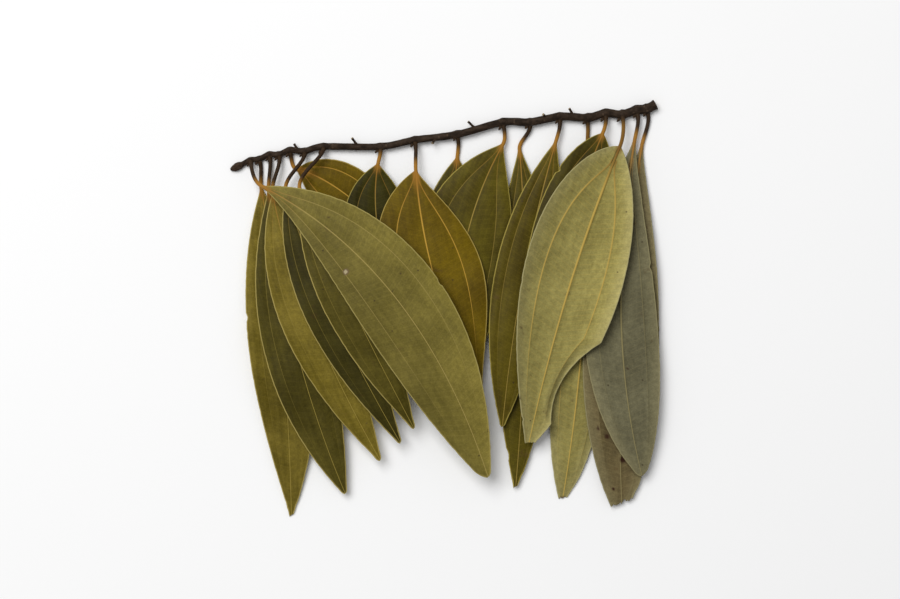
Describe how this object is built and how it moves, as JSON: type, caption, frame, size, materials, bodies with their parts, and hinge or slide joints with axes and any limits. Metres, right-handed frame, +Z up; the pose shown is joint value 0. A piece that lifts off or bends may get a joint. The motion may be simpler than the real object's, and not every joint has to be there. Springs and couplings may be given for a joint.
{
  "type": "dried bay leaf sprig",
  "caption": "Sprig of dried Indian bay: long three-veined leaves hanging from one side of a thin arching twig, lying flat.",
  "frame": {"origin": "Middle of the sprig's box in plan, on the surface that it lies on.", "axes": "+Z up from the surface; +Y towards the twig, with the leaves hanging towards -Y; +X towards the twig's cut end."},
  "size_m": [0.193, 0.1874, 0.0186],
  "materials": {
    "leaf_khaki": "dull dried leaf, pale underside, yellow-brown veins",
    "leaf_olive": "slightly satin dried leaf, olive, pale margin and veins",
    "leaf_dark": "slightly satin dried leaf, dark olive top side",
    "leaf_golden": "slightly satin dried leaf, golden olive, orange-brown base",
    "leaf_grey": "dull dried leaf, grey olive underside",
    "bark": "dull dark brown bark"
  },
  "bodies": {
    "root": {"leaf_01": "leaf_grey", "leaf_02": "leaf_grey", "leaf_03": "leaf_khaki", "leaf_04": "leaf_dark", "leaf_05": "leaf_khaki", "leaf_06": "leaf_olive", "leaf_07": "leaf_dark", "leaf_08": "leaf_dark", "leaf_09": "leaf_dark", "leaf_10": "leaf_golden", "leaf_11": "leaf_dark", "leaf_12": "leaf_dark", "leaf_13": "leaf_olive", "leaf_14": "leaf_golden", "leaf_15": "leaf_golden", "leaf_16": "leaf_olive", "leaf_17": "leaf_olive", "leaf_18": "leaf_olive", "twig": "bark"}
  },
  "joints": []
}
